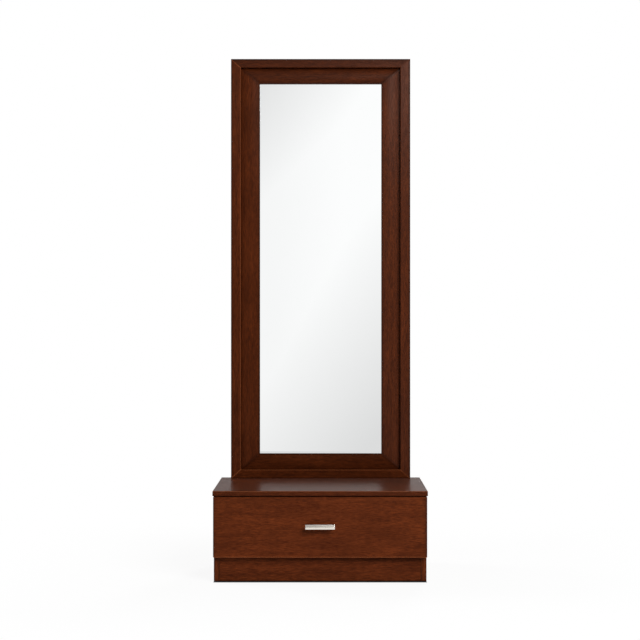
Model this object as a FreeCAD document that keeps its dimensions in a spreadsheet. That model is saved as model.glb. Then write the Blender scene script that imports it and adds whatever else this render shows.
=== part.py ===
import FreeCAD, Part
import os
import re
import Sketcher

# Floor mirror on a low cabinet with one drawer.
# Millimetres, +Z up, the front faces -Y, and the origin is on the floor in the middle of the outer box.

SIZES = [
    # Cabinet
    ("cabinet_width", 644, "over the two side panels"),
    ("cabinet_height", 278, "floor to the upper face of the top"),
    ("top_depth", 400, "front edge to back edge of the top"),
    ("top_thickness", 16, "top board"),
    ("top_side_overhang", 3, "top beyond each side panel"),
    ("top_front_overhang", 3, "top beyond the drawer front"),
    ("top_edge_radius", 2.5, "rounding of the top's edges"),
    ("side_thickness", 16, "side panels"),
    ("bottom_thickness", 16, "bottom panel"),
    ("bottom_reveal", 3, "drawer front's lap below the bottom panel"),
    ("plinth_thickness", 16, "plinth boards"),
    ("plinth_height", 77, "floor to the lower edge of the drawer front"),
    ("plinth_setback", 2, "plinth board behind the side panels' front edges"),
    ("rail_width", 70, "front and rear rails under the top"),
    ("rail_thickness", 16, "front and rear rails under the top"),
    ("back_thickness", 5, "cabinet back panel"),
    ("glide_height", 3, "floor glide below the side panel"),
    ("glide_diameter", 13, "floor glide"),
    ("glide_pin_diameter", 3, "nail of the glide"),
    ("glide_pin_length", 12, "nail of the glide"),
    ("glide_from_edge", 30, "glide to the side panel's front or back edge"),
    ("bumper_thickness", 2, "pad between side panel and drawer front"),
    ("bumper_diameter", 9, "pad between side panel and drawer front"),
    ("bumper_from_edge", 30, "pad to the end of the drawer front"),
    # Screws, dowels and cam fittings
    ("screw_diameter", 4, "wood screws"),
    ("screw_bite", 10, "wood screw into the last board"),
    ("small_screw_diameter", 3, "small screws"),
    ("small_screw_bite", 9, "small screw into the last board"),
    ("edge_screw_bite", 22, "wood screw into a board's end"),
    ("drill_play", 0.1, "hole beyond the fastener, all round"),
    ("rail_screw_offset", 190, "outer rail screws from the middle"),
    ("back_screw_offset", 150, "outer back panel screws from the middle"),
    ("dowel_diameter", 8, "carcass dowels"),
    ("dowel_in_side", 10, "dowel in the side panel"),
    ("dowel_in_board", 20, "dowel in the other board"),
    ("dowel_chamfer", 1, "ends of the dowels"),
    ("dowel_from_edge", 115, "bottom panel's dowels from its front and back edges"),
    ("rail_joint_offset", 15, "rail's dowel and cam from its middle line"),
    ("plinth_dowel_offset", 18, "plinth dowels from the board's middle line"),
    ("cam_diameter", 15, "cam lock"),
    ("cam_skin", 4, "board left behind the cam lock"),
    ("cam_reach", 34, "cam's axis from the board's end"),
    ("cam_from_edge", 70, "bottom panel's cams from its front and back edges"),
    ("cam_slot", 1.5, "screwdriver slot of the cam"),
    ("cam_bolt_diameter", 6, "cam bolt"),
    ("cam_bolt_in_side", 10, "cam bolt in the side panel"),
    ("cam_head_diameter", 7, "head of the cam bolt"),
    ("cam_head_length", 3, "head of the cam bolt"),
    # Mirror frame
    ("frame_inset", 30, "frame's outer edge from the cabinet's side"),
    ("frame_height", 1366, "mirror frame"),
    ("frame_edge_radius", 2, "rounding of the frame's front edges"),
    ("border_stile_width", 32, "upright border"),
    ("border_rail_width", 28, "level border"),
    ("border_depth", 30, "border, front to back"),
    ("border_step", 13, "crown of the inner frame behind the border's face"),
    ("inner_crown", 4, "inner frame's face falls back toward both edges"),
    ("inner_stile_width", 61.5, "upright inner frame"),
    ("inner_rail_width", 51, "level inner frame"),
    ("glass_lap", 10, "inner frame over the glass"),
    ("glass_thickness", 4, "mirror glass"),
    ("glass_play", 1, "glass inside its rebate"),
    ("backing_thickness", 3, "backing board"),
    ("frame_dowel_diameter", 6, "dowels between border and inner frame"),
    ("frame_dowel_length", 24, "dowels between border and inner frame"),
    ("stile_dowel_pitch", 260, "along the stiles"),
    ("rail_dowel_offset", 110, "along the rails, from the middle"),
    ("plate_leg", 60, "corner plate"),
    ("plate_width", 16, "corner plate"),
    ("plate_thickness", 2, "corner plate"),
    ("plate_from_glass", 4, "corner plate to the glass rebate"),
    ("plate_screw_pitch", 32, "between the two screws of a plate's leg"),
    ("clip_length", 30, "backing clip"),
    ("clip_width", 12, "backing clip"),
    ("clip_thickness", 1.2, "backing clip"),
    ("clip_lap", 13, "clip over the backing board"),
    ("clip_pitch", 430, "clips along the stiles"),
    ("batten_width", 45, "support batten"),
    ("batten_thickness", 18, "support batten"),
    ("batten_inset", 10, "batten from the frame's outer edge"),
    ("batten_top_gap", 180, "batten's upper end below the frame's"),
    ("batten_screw_bite", 14, "batten screw into the frame"),
    ("batten_screw_from_end", 60, "end screws of the batten in the frame"),
    # Drawer
    ("drawer_front_thickness", 18, "drawer front"),
    ("drawer_front_lap", 1, "drawer front beyond each side panel"),
    ("drawer_front_gap", 2.5, "between drawer front and top"),
    ("drawer_front_radius", 1.2, "rounding of the drawer front's edges"),
    ("drawer_side_thickness", 12, "sides of the drawer box"),
    ("drawer_end_thickness", 12, "front and back of the drawer box"),
    ("drawer_bottom_thickness", 4, "drawer bottom"),
    ("drawer_bottom_rise", 8, "drawer bottom above the box's lower edge"),
    ("groove_depth", 5, "groove for the drawer bottom"),
    ("groove_play", 0.3, "groove beyond the drawer bottom"),
    ("drawer_floor_gap", 14, "drawer box above the bottom panel"),
    ("drawer_top_gap", 21, "drawer box below the front rail"),
    ("drawer_rear_gap", 20, "drawer box before the back panel"),
    ("drawer_travel", 300, "full opening"),
    ("box_screw_from_edge", 18, "corner screws from the box's edges"),
    ("front_screw_offset", 200, "drawer front's screws from the middle"),
    ("front_screw_from_edge", 30, "drawer front's screws from the box's edges"),
    ("handle_length", 89, "handle bar"),
    ("handle_height", 14.6, "handle bar"),
    ("handle_lower_height", 6, "upright lower face of the bar"),
    ("handle_slope", 3.5, "upper face leans back by"),
    ("handle_depth", 9, "handle bar, front to back"),
    ("handle_projection", 26, "handle before the drawer front"),
    ("handle_rise", 4, "handle above the drawer front's middle"),
    ("handle_edge_radius", 0.8, "rounding of the bar's edges"),
    ("handle_post_diameter", 9, "handle posts"),
    ("handle_post_spacing", 64, "between the handle posts"),
    ("handle_screw_diameter", 4, "handle screws"),
    ("handle_thread", 9, "handle screw inside the post"),
    # Ball-bearing slides
    ("slide_thickness", 12.7, "between side panel and drawer box"),
    ("slide_height", 45, "outer member"),
    ("slide_sheet", 1.2, "sheet of the members"),
    ("slide_lip", 1.5, "turned-in edges of the members"),
    ("slide_setback", 2, "slide behind the side panel's front edge"),
    ("slide_end_play", 0.9, "middle member before the inner one's web"),
    ("slide_screw_from_end", 40, "slide screws from the member's ends"),
    ("ball_diameter", 4, "balls"),
    ("ball_play", 0.15, "ball to its races and its hole"),
    ("cage_sheet", 0.5, "ball cage"),
    ("cage_play", 0.35, "ball cage to the members"),
    ("cage_margin", 10, "cage inside the members at full opening"),
]

PLACES = [
    ("depth_overall", "handle_projection + top_depth - top_front_overhang + batten_thickness"),
    ("face_y", "handle_projection - depth_overall / 2"),
    ("box_front_y", "face_y + drawer_front_thickness"),
    ("side_front_y", "box_front_y + bumper_thickness"),
    ("back_y", "face_y - top_front_overhang + top_depth"),
    ("board_back_y", "back_y - back_thickness"),
    ("under_top_z", "cabinet_height - top_thickness"),
    ("rail_low_z", "under_top_z - rail_thickness"),
    ("rail_middle_z", "under_top_z - rail_thickness / 2"),
    ("bottom_low_z", "plinth_height + bottom_reveal"),
    ("bottom_middle_z", "bottom_low_z + bottom_thickness / 2"),
    ("inner_half", "cabinet_width / 2 - side_thickness"),
    ("frame_half", "cabinet_width / 2 - frame_inset"),
    ("frame_top_z", "cabinet_height + frame_height"),
    ("frame_middle_z", "cabinet_height + frame_height / 2"),
    ("frame_front_y", "back_y - border_depth"),
    ("inner_ring_half", "frame_half - border_stile_width"),
    ("inner_edge_depth", "border_step + inner_crown"),
    ("rebate_depth", "border_depth - glass_thickness - backing_thickness"),
    ("rebate_half", "inner_ring_half - inner_stile_width + glass_lap"),
    ("rebate_low_z", "cabinet_height + border_rail_width + inner_rail_width - glass_lap"),
    ("rebate_high_z", "frame_top_z - border_rail_width - inner_rail_width + glass_lap"),
    ("glass_y", "back_y - backing_thickness - glass_thickness"),
    ("frame_dowel_y", "back_y - (border_depth - inner_edge_depth) / 2"),
    ("plate_x", "rebate_half + plate_from_glass + plate_width / 2"),
    ("plate_low_z", "rebate_low_z - plate_from_glass - plate_width / 2"),
    ("plate_high_z", "rebate_high_z + plate_from_glass + plate_width / 2"),
    ("plate_far_screw", "plate_leg - plate_width / 2"),
    ("plate_near_screw", "plate_far_screw - plate_screw_pitch"),
    ("clip_screw", "(clip_length - clip_lap) / 2"),
    ("batten_far", "frame_half - batten_inset"),
    ("batten_top_z", "frame_top_z - batten_top_gap"),
    ("batten_screw_x", "frame_half - (batten_inset + border_stile_width) / 2"),
    ("batten_screw_low_z", "cabinet_height + batten_screw_from_end"),
    ("batten_screw_rise", "batten_top_z - batten_screw_from_end - batten_screw_low_z"),
    ("front_high_z", "under_top_z - drawer_front_gap"),
    ("front_middle_z", "(plinth_height + front_high_z) / 2"),
    ("box_half", "inner_half - slide_thickness"),
    ("box_inner_half", "box_half - drawer_side_thickness"),
    ("box_inner_front_y", "box_front_y + drawer_end_thickness"),
    ("box_back_y", "board_back_y - drawer_rear_gap"),
    ("box_inner_back_y", "box_back_y - drawer_end_thickness"),
    ("box_low_z", "bottom_low_z + bottom_thickness + drawer_floor_gap"),
    ("box_high_z", "rail_low_z - drawer_top_gap"),
    ("drawer_bottom_z", "box_low_z + drawer_bottom_rise"),
    ("handle_z", "front_middle_z + handle_rise"),
    ("slide_z", "(box_low_z + box_high_z) / 2"),
    ("slide_front_y", "side_front_y + slide_setback"),
    ("slide_length", "box_back_y - slide_front_y"),
    ("slide_end_y", "slide_front_y + slide_length"),
    # Distances across the slide, from the side panel's inner face toward the drawer
    ("outer_cage_in", "slide_sheet + cage_play"),
    ("mid_in", "outer_cage_in + cage_sheet + cage_play"),
    ("inner_cage_in", "mid_in + slide_sheet + cage_play"),
    ("inner_in", "inner_cage_in + cage_sheet + cage_play"),
    ("mid_out", "slide_thickness - slide_sheet - slide_end_play"),
    ("outer_out", "mid_out - slide_sheet"),
    ("outer_ball_in", "outer_out - slide_sheet - ball_play - ball_diameter / 2"),
    ("inner_ball_in", "mid_out - slide_sheet - ball_play - ball_diameter / 2"),
    # Heights above the slide's middle line
    ("outer_up", "slide_height / 2"),
    ("outer_ball_up", "outer_up - slide_sheet - ball_play - ball_diameter / 2"),
    ("mid_up", "outer_up - slide_sheet - 2 * ball_play - ball_diameter"),
    ("inner_ball_up", "mid_up - slide_sheet - ball_play - ball_diameter / 2"),
    ("inner_up", "mid_up - slide_sheet - 2 * ball_play - ball_diameter"),
    ("cage_length", "slide_length - drawer_travel / 2 - cage_margin"),
    ("cage_end_y", "slide_end_y - drawer_travel / 4 - cage_margin / 2"),
]

LEFT = -1
RIGHT = 1
SIDE_NAMES = {LEFT: "left", RIGHT: "right"}
BALLS_IN_ROW = 7
FRAME_SCREWS_IN_BATTEN = 4

# Screw heads, as shares of the shank's diameter: half length, half width and depth of the driver slot,
# then the height of a round head and of its straight rim
SLOT_REACH = 0.55
SLOT_HALF_WIDTH = 0.11
SLOT_DEPTH = 0.3
HEAD_HEIGHT = 0.6
HEAD_RIM = 0.25

DOWN = FreeCAD.Vector(0, 0, -1)
HEADINGS = {
    "down": FreeCAD.Rotation(),
    "up": FreeCAD.Rotation(DOWN, FreeCAD.Vector(0, 0, 1)),
    "front": FreeCAD.Rotation(DOWN, FreeCAD.Vector(0, -1, 0)),
    "back": FreeCAD.Rotation(DOWN, FreeCAD.Vector(0, 1, 0)),
    "left": FreeCAD.Rotation(DOWN, FreeCAD.Vector(-1, 0, 0)),
    "right": FreeCAD.Rotation(DOWN, FreeCAD.Vector(1, 0, 0)),
}

doc = FreeCAD.newDocument("floor_mirror")
sizes = doc.addObject("Spreadsheet::Sheet", "sizes")
places = doc.addObject("App::VarSet", "places")
blanks = {}
cutters = {}
nodes = []


# Sizes and formulas

def formula(text):
    """Put the sheet's or the place list's name before every size and place in a formula."""
    size_names = {alias for alias, number, meaning in SIZES}
    place_names = {name for name, rule in PLACES}

    def owner(match):
        word = match.group(0)
        if word in size_names:
            return f"sizes.{word}"
        if word in place_names:
            return f"places.{word}"
        return word

    return re.sub(r"[a-z]\w*", owner, text)


def fill_sheet():
    for row, (alias, number, meaning) in enumerate(SIZES, start=1):
        sizes.set(f"A{row}", alias)
        sizes.set(f"B{row}", str(number))
        sizes.setAlias(f"B{row}", alias)
        sizes.set(f"C{row}", meaning)
    doc.recompute()
    for name, rule in PLACES:
        places.addProperty("App::PropertyFloat", name, "Places")
        places.setExpression(name, formula(rule))
    doc.recompute()


def bind(thing, **rules):
    for name, rule in rules.items():
        thing.setExpression(name, formula(rule))


def put(thing, x, y, z):
    for axis, rule in zip("xyz", (x, y, z)):
        thing.setExpression(f"Placement.Base.{axis}", formula(rule))


def across(side, near, far):
    """Span in x between two distances from the middle, on the left or the right."""
    if side == RIGHT:
        return near, far
    return f"-({far})", f"-({near})"


def both_ways(half):
    return f"-({half})", half


# Shapes

def block(name, x, y, z):
    """Box from its low and high limits along each axis."""
    made = doc.addObject("Part::Box", name)
    bind(made, Length=f"({x[1]}) - ({x[0]})", Width=f"({y[1]}) - ({y[0]})", Height=f"({z[1]}) - ({z[0]})")
    put(made, x[0], y[0], z[0])
    return made


def spot_now(drawn, x, y):
    """Where two formulas put a point at the present sizes."""
    return FreeCAD.Vector(drawn.evalExpression(formula(x)), drawn.evalExpression(formula(y)), 0)


def hold(drawn, rule, *what):
    """Add a constraint whose value follows a formula."""
    index = drawn.addConstraint(Sketcher.Constraint(*what, drawn.evalExpression(formula(rule))))
    drawn.setExpression(f"Constraints[{index}]", formula(rule))


def draw_edge(drawn, here, middle, there):
    """Line, or arc through its middle, and which of its two ends comes first in the outline."""
    forward = True
    if middle is None:
        edge = Part.LineSegment(here, there)
    else:
        forward = (middle - here).cross(there - middle).z > 0
        edge = Part.ArcOfCircle(here, middle, there) if forward else Part.ArcOfCircle(there, middle, here)
    drawn.addGeometry(edge, False)
    return (1, 2) if forward else (2, 1)


def draw_loop(drawn, outline):
    """Closed outline, each corner held by two distances. A point with a radius is the middle of an arc."""
    first = drawn.GeometryCount
    corners = []
    bows = {}
    for x, y, *radius in outline:
        if radius:
            bows[len(corners) - 1] = (spot_now(drawn, x, y), radius[0])
        else:
            corners.append((x, y))
    spots = [spot_now(drawn, x, y) for x, y in corners]
    nexts = spots[1:] + spots[:1]
    ends = []
    for number, (here, there) in enumerate(zip(spots, nexts)):
        middle = bows[number][0] if number in bows else None
        ends.append(draw_edge(drawn, here, middle, there))
    for number, (start, end) in enumerate(ends):
        following = (number + 1) % len(ends)
        meeting = (first + number, end, first + following, ends[following][0])
        drawn.addConstraint(Sketcher.Constraint("Coincident", *meeting))
        for kind, rule in zip(("DistanceX", "DistanceY"), corners[number]):
            hold(drawn, rule, kind, -1, 1, first + number, start)
    for number, (middle, radius) in bows.items():
        hold(drawn, radius, "Radius", first + number)


def sketch(body, plane, loops):
    """Closed outlines on one of the body's origin planes."""
    drawn = body.newObject("Sketcher::SketchObject", f"{body.Name}_sketch")
    support = [feature for feature in body.Origin.OriginFeatures if feature.Role == plane][0]
    drawn.AttachmentSupport = (support, [""])
    drawn.MapMode = "FlatFace"
    for outline in loops:
        draw_loop(drawn, outline)
    return drawn


def new_body(name):
    return doc.addObject("PartDesign::Body", name)


def pad(body, outline, length, symmetric=False, reverse=False):
    made = body.newObject("PartDesign::Pad", f"{body.Name}_pad")
    made.Profile = outline
    bind(made, Length=length)
    made.Reversed = reverse
    if symmetric:
        made.SideType = "Symmetric"
    return made


def cut_through(body, outline):
    made = body.newObject("PartDesign::Pocket", f"{body.Name}_cut")
    made.Profile = outline
    made.SideType = "Symmetric"
    made.Type = "ThroughAll"
    return made


def round_edges(body, base, radius, wanted=None):
    """Round all edges of a feature, or only those that the given test picks."""
    doc.recompute()
    names = [f"Edge{n}" for n, edge in enumerate(base.Shape.Edges, start=1) if wanted is None or wanted(edge)]
    made = body.newObject("PartDesign::Fillet", f"{body.Name}_round")
    made.Base = (base, names)
    bind(made, Radius=radius)
    return made


def slab(name, x, y, z, radius):
    """Board with every edge rounded, from its low and high limits along each axis."""
    body = new_body(name)
    put(body, x[0], y[0], z[0])
    length = f"({x[1]}) - ({x[0]})"
    width = f"({y[1]}) - ({y[0]})"
    outline = sketch(body, "XY_Plane", [[("0", "0"), (length, "0"), (length, width), ("0", width)]])
    base = pad(body, outline, f"({z[1]}) - ({z[0]})")
    round_edges(body, base, radius)
    return body


def turned(name, profile):
    """Solid of revolution about Z, from (radius, height) corners."""
    body = new_body(name)
    made = body.newObject("PartDesign::Revolution", f"{name}_turn")
    outline = sketch(body, "XZ_Plane", [profile])
    made.Profile = outline
    made.ReferenceAxis = (outline, ["V_Axis"])
    body.Tip = made
    return body


def plug(name, radius, high, low):
    return turned(name, [("0", high), (radius, high), (radius, low), ("0", low)])


# Boards, holes and repeated pieces

def board(label, made):
    """Enter a piece that later gets its holes."""
    blanks[label] = made
    cutters[label] = []
    made.Label = f"{label}_blank"


def copy(name, template, place, turn):
    link = doc.addObject("App::Link", name)
    link.LinkedObject = template
    link.Placement = FreeCAD.Placement(FreeCAD.Vector(), turn)
    put(link, *place)
    return link


def group(label, links):
    made = doc.addObject("Part::Compound", label)
    made.Links = links
    nodes.append(made)


def fit(label, template, hole, spots):
    """Copies of a fastener in one node, with its hole in every board that it passes."""
    links = []
    for number, (place, turn, boards) in enumerate(spots, start=1):
        links.append(copy(f"{label}_{number}", template, place, turn))
        for name in boards:
            cutters[name].append(copy(f"{label}_{number}_hole", hole, place, turn))
    group(label, links)


def drill(label, hole, place, turn):
    cutters[label].append(copy(f"{label}_hole", hole, place, turn))


def finish_boards():
    for label, made in blanks.items():
        tools = cutters[label]
        if not tools:
            made.Label = label
            nodes.append(made)
            continue
        tool = tools[0]
        if len(tools) > 1:
            tool = doc.addObject("Part::MultiFuse", f"{label}_holes")
            tool.Shapes = tools
        result = doc.addObject("Part::Cut", f"{label}_drilled")
        result.Base = made
        result.Tool = tool
        result.Label = label
        nodes.append(result)


def cross_slot(name, screw, diameter, top):
    """Driver recess in a screw head."""
    long_way = both_ways(f"{SLOT_REACH} * ({diameter})")
    short_way = both_ways(f"{SLOT_HALF_WIDTH} * ({diameter})")
    depth = (f"({top}) - {SLOT_DEPTH} * ({diameter})", f"({top}) + {SLOT_DEPTH} * ({diameter})")
    recess = doc.addObject("Part::MultiFuse", f"{name}_recess")
    recess.Shapes = [
        block(f"{name}_slot_along", long_way, short_way, depth),
        block(f"{name}_slot_over", short_way, long_way, depth),
    ]
    made = doc.addObject("Part::Cut", name)
    made.Base = screw
    made.Tool = recess
    return made


def flat_screw(name, diameter, length):
    """Countersunk wood screw driven along -Z, head flush with Z = 0, and its hole."""
    radius = f"({diameter}) / 2"
    play = "drill_play"
    shank = [
        ("0", "0"), (diameter, "0"), (radius, f"-({radius})"),
        (radius, f"-({length}) + ({diameter})"), ("0", f"-({length})"),
    ]
    hole = [
        ("0", "0"), (f"({diameter}) + {play}", "0"), (f"({radius}) + {play}", f"-({radius})"),
        (f"({radius}) + {play}", f"-({length}) - {play}"), ("0", f"-({length}) - {play}"),
    ]
    screw = cross_slot(name, turned(f"{name}_turned", shank), diameter, "0")
    return screw, turned(f"{name}_hole", hole)


def round_screw(name, diameter, length):
    """Round-head screw driven along -Z, head on top of Z = 0, and its hole."""
    radius = f"({diameter}) / 2"
    play = "drill_play"
    head = f"{HEAD_HEIGHT} * ({diameter})"
    rim = f"{HEAD_RIM} * ({diameter})"
    shank = [
        ("0", head), (radius, head), (diameter, rim), (diameter, "0"), (radius, "0"),
        (radius, f"-({length}) + ({radius})"), ("0", f"-({length})"),
    ]
    screw = cross_slot(name, turned(f"{name}_turned", shank), diameter, head)
    return screw, plug(f"{name}_hole", f"({radius}) + {play}", play, f"-({length}) - {play}")


def dowel(name, diameter, length):
    radius = f"({diameter}) / 2"
    end = f"({radius}) - dowel_chamfer"
    profile = [
        ("0", "0"), (end, "0"), (radius, "-dowel_chamfer"),
        (radius, f"-({length}) + dowel_chamfer"), (end, f"-({length})"), ("0", f"-({length})"),
    ]
    hole = plug(f"{name}_hole", f"({radius}) + drill_play", "drill_play", f"-({length}) - drill_play")
    return turned(name, profile), hole


# Cabinet

def make_carcass():
    depth = ("side_front_y", "board_back_y")
    for side, name in SIDE_NAMES.items():
        panel = block(
            f"{name}_side_panel", across(side, "inner_half", "cabinet_width / 2"),
            ("side_front_y", "back_y"), ("glide_height", "under_top_z"),
        )
        board(f"{name}_side_panel", panel)
    width = both_ways("inner_half")
    bottom_z = ("bottom_low_z", "bottom_low_z + bottom_thickness")
    board("bottom_panel", block("bottom_panel", width, depth, bottom_z))
    plinth_z = ("glide_height", "bottom_low_z")
    front_y = "side_front_y + plinth_setback"
    board("plinth_board", block("plinth_board", width, (front_y, f"{front_y} + plinth_thickness"), plinth_z))
    rear = ("board_back_y - plinth_thickness", "board_back_y")
    board("rear_plinth_board", block("rear_plinth_board", width, rear, plinth_z))
    rail_z = ("rail_low_z", "under_top_z")
    board("front_rail", block("front_rail", width, ("side_front_y", "side_front_y + rail_width"), rail_z))
    board("rear_rail", block("rear_rail", width, ("board_back_y - rail_width", "board_back_y"), rail_z))
    back = block("cabinet_back_panel", width, ("board_back_y", "back_y"), ("bottom_low_z", "under_top_z"))
    board("cabinet_back_panel", back)
    top = slab(
        "cabinet_top", both_ways("cabinet_width / 2 + top_side_overhang"),
        ("face_y - top_front_overhang", "back_y"), ("under_top_z", "cabinet_height"), "top_edge_radius",
    )
    board("cabinet_top", top)


def make_glides_and_bumpers():
    radius = "glide_diameter / 2"
    pin = "glide_pin_diameter / 2"
    profile = [
        ("0", "glide_pin_length"), (pin, f"glide_pin_length - {pin}"), (pin, "0"),
        (radius, "0"), (radius, "-glide_height / 2"),
        (f"{radius} - glide_height / 2", "-glide_height"), ("0", "-glide_height"),
    ]
    hole = plug("glide_hole", f"{pin} + drill_play", "glide_pin_length + drill_play", "-drill_play")
    pad_radius = "bumper_diameter / 2"
    bumper = turned("bumper", [
        ("0", "0"), (pad_radius, "0"), (pad_radius, "-bumper_thickness / 2"),
        (f"{pad_radius} - bumper_thickness / 2", "-bumper_thickness"), ("0", "-bumper_thickness"),
    ])
    levels = {"low": "plinth_height + bumper_from_edge", "high": "front_high_z - bumper_from_edge"}
    glide_spots = []
    bumper_links = []
    for side, name in SIDE_NAMES.items():
        x = f"{side} * (cabinet_width / 2 - side_thickness / 2)"
        for y in ("side_front_y + glide_from_edge", "back_y - glide_from_edge"):
            glide_spots.append(((x, y, "glide_height"), HEADINGS["down"], [f"{name}_side_panel"]))
        for level, z in levels.items():
            link = copy(f"bumper_{name}_{level}", bumper, (x, "side_front_y", z), HEADINGS["front"])
            bumper_links.append(link)
    fit("floor_glides", turned("glide", profile), hole, glide_spots)
    group("bumper_pads", bumper_links)


def carcass_joint_spots():
    """Places of the dowels and cams: the joined board, its y, and the middle of its thickness."""
    front_rail_y = "side_front_y + rail_width / 2"
    rear_rail_y = "board_back_y - rail_width / 2"
    dowels = [
        ("bottom_panel", "side_front_y + dowel_from_edge", "bottom_middle_z"),
        ("bottom_panel", "board_back_y - dowel_from_edge", "bottom_middle_z"),
        ("front_rail", f"{front_rail_y} - rail_joint_offset", "rail_middle_z"),
        ("rear_rail", f"{rear_rail_y} - rail_joint_offset", "rail_middle_z"),
    ]
    plinth_middle_z = "(glide_height + bottom_low_z) / 2"
    for sign in "+-":
        z = f"{plinth_middle_z} {sign} plinth_dowel_offset"
        dowels.append(("plinth_board", "side_front_y + plinth_setback + plinth_thickness / 2", z))
        dowels.append(("rear_plinth_board", "board_back_y - plinth_thickness / 2", z))
    cams = [
        ("bottom_panel", "side_front_y + cam_from_edge", "bottom_low_z", "bottom_thickness"),
        ("bottom_panel", "board_back_y - cam_from_edge", "bottom_low_z", "bottom_thickness"),
        ("front_rail", f"{front_rail_y} + rail_joint_offset", "rail_low_z", "rail_thickness"),
        ("rear_rail", f"{rear_rail_y} + rail_joint_offset", "rail_low_z", "rail_thickness"),
    ]
    return dowels, cams


def cam_template(thickness):
    """Cam lock for a board: on Z = 0, open on its +X side for the bolt, slotted underneath; and its hole."""
    depth = f"{thickness} - cam_skin"
    middle = f"{thickness} / 2"
    name = thickness.replace("thickness", "cam")
    disc = plug(f"{name}_disc", "cam_diameter / 2", depth, "0")
    hollow = "cam_head_diameter / 2 + drill_play"
    notch = block(
        f"{name}_notch", ("-cam_head_length - drill_play", "cam_diameter"), both_ways(hollow),
        (f"{middle} - ({hollow})", f"{middle} + ({hollow})"),
    )
    long_way = both_ways("cam_diameter / 4")
    short_way = both_ways("cam_slot / 2")
    slot_depth = both_ways("cam_slot")
    hollows = doc.addObject("Part::MultiFuse", f"{name}_hollows")
    hollows.Shapes = [
        notch,
        block(f"{name}_slot_along", long_way, short_way, slot_depth),
        block(f"{name}_slot_over", short_way, long_way, slot_depth),
    ]
    made = doc.addObject("Part::Cut", name)
    made.Base = disc
    made.Tool = hollows
    hole = plug(f"{name}_hole", "cam_diameter / 2 + drill_play", f"{depth} + drill_play", "-drill_play")
    return made, hole


def make_carcass_joints():
    templates = {thickness: cam_template(thickness) for thickness in ("bottom_thickness", "rail_thickness")}
    neck = "cam_bolt_diameter / 2"
    head = "cam_head_diameter / 2"
    reach = "cam_bolt_in_side + cam_reach"
    bolt = turned("cam_bolt", [
        ("0", "0"), (neck, "0"), (neck, f"-({reach}) + cam_head_length"),
        (head, f"-({reach}) + cam_head_length"), (head, f"-({reach})"), ("0", f"-({reach})"),
    ])
    thread_end = "-cam_bolt_in_side - drill_play"
    thread_hole = plug("cam_thread_hole", f"{neck} + drill_play", "drill_play", thread_end)
    neck_hole = plug("cam_neck_hole", f"{head} + drill_play", "-cam_bolt_in_side", f"-({reach})")
    pin, pin_hole = dowel("carcass_dowel", "dowel_diameter", "dowel_in_side + dowel_in_board")
    dowels, cams = carcass_joint_spots()
    dowel_spots = []
    cam_links = []
    bolt_links = []
    for side, name in SIDE_NAMES.items():
        panel = f"{name}_side_panel"
        inward = HEADINGS[SIDE_NAMES[-side]]
        outward = FreeCAD.Rotation(FreeCAD.Vector(0, 0, 1), 0 if side == RIGHT else 180)
        for label, y, z in dowels:
            dowel_spots.append(((f"{side} * (inner_half + dowel_in_side)", y, z), inward, [panel, label]))
        for label, y, low_z, thickness in cams:
            cam, cam_hole = templates[thickness]
            cam_place = (f"{side} * (inner_half - cam_reach)", y, low_z)
            cam_links.append(copy(f"cam_{name}_{len(cam_links) + 1}", cam, cam_place, outward))
            drill(label, cam_hole, cam_place, outward)
            bolt_place = (f"{side} * (inner_half + cam_bolt_in_side)", y, f"{low_z} + {thickness} / 2")
            bolt_links.append(copy(f"cam_bolt_{name}_{len(bolt_links) + 1}", bolt, bolt_place, inward))
            drill(panel, thread_hole, bolt_place, inward)
            drill(label, neck_hole, bolt_place, inward)
    fit("carcass_dowels", pin, pin_hole, dowel_spots)
    group("cam_locks", cam_links)
    group("cam_bolts", bolt_links)


def make_cabinet_screws():
    screw, hole = flat_screw("rail_screw", "screw_diameter", "rail_thickness + screw_bite")
    spots = []
    middles = {"front_rail": "side_front_y + rail_width / 2", "rear_rail": "board_back_y - rail_width / 2"}
    for label, y in middles.items():
        for step in (-1, 0, 1):
            place = (f"{step} * rail_screw_offset", y, "rail_low_z")
            spots.append((place, HEADINGS["up"], [label, "cabinet_top"]))
    fit("cabinet_top_screws", screw, hole, spots)
    screw, hole = flat_screw("back_screw", "small_screw_diameter", "back_thickness + small_screw_bite")
    spots = []
    for label, z in (("bottom_panel", "bottom_middle_z"), ("rear_rail", "rail_middle_z")):
        for step in (-1, 0, 1):
            place = (f"{step} * back_screw_offset", "back_y", z)
            spots.append((place, HEADINGS["front"], ["cabinet_back_panel", label]))
    fit("back_panel_screws", screw, hole, spots)


# Mirror frame: two mitred rings, a proud border and a recessed inner frame

def border_section(width):
    """Section of a border member, as (distance from its outer edge, distance behind the border's face)."""
    return [("0", "0"), (width, "0"), (width, "border_depth"), ("0", "border_depth")]


def inner_section(width):
    """The same for the inner frame, whose face bows forward and whose inner edge laps the glass."""
    bow = f"{width} ^ 2 / (8 * inner_crown) + inner_crown / 2"
    beside_glass = f"{width} - glass_lap"
    face = [("0", "inner_edge_depth"), (f"{width} / 2", "border_step", bow), (width, "inner_edge_depth")]
    rebate = [(width, "rebate_depth"), (beside_glass, "rebate_depth")]
    return face + rebate + [(beside_glass, "border_depth"), ("0", "border_depth")]


BORDER = {
    "inset_x": "0", "inset_z": "0",
    "stile": "border_stile_width", "rail": "border_rail_width", "section": border_section,
}
INNER = {
    "inset_x": "border_stile_width", "inset_z": "border_rail_width",
    "stile": "inner_stile_width", "rail": "inner_rail_width", "section": inner_section,
}


def front_edge(axis):
    """Test for the long front edges of a ring member before it is mitred."""
    def wanted(edge):
        box = edge.BoundBox
        along = {"x": box.XLength, "z": box.ZLength}[axis]
        at_front = box.YMax < (places.inner_edge_depth + places.rebate_depth) / 2
        return at_front and along > max(sizes.border_depth, box.DiagonalLength / 2)
    return wanted


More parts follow.
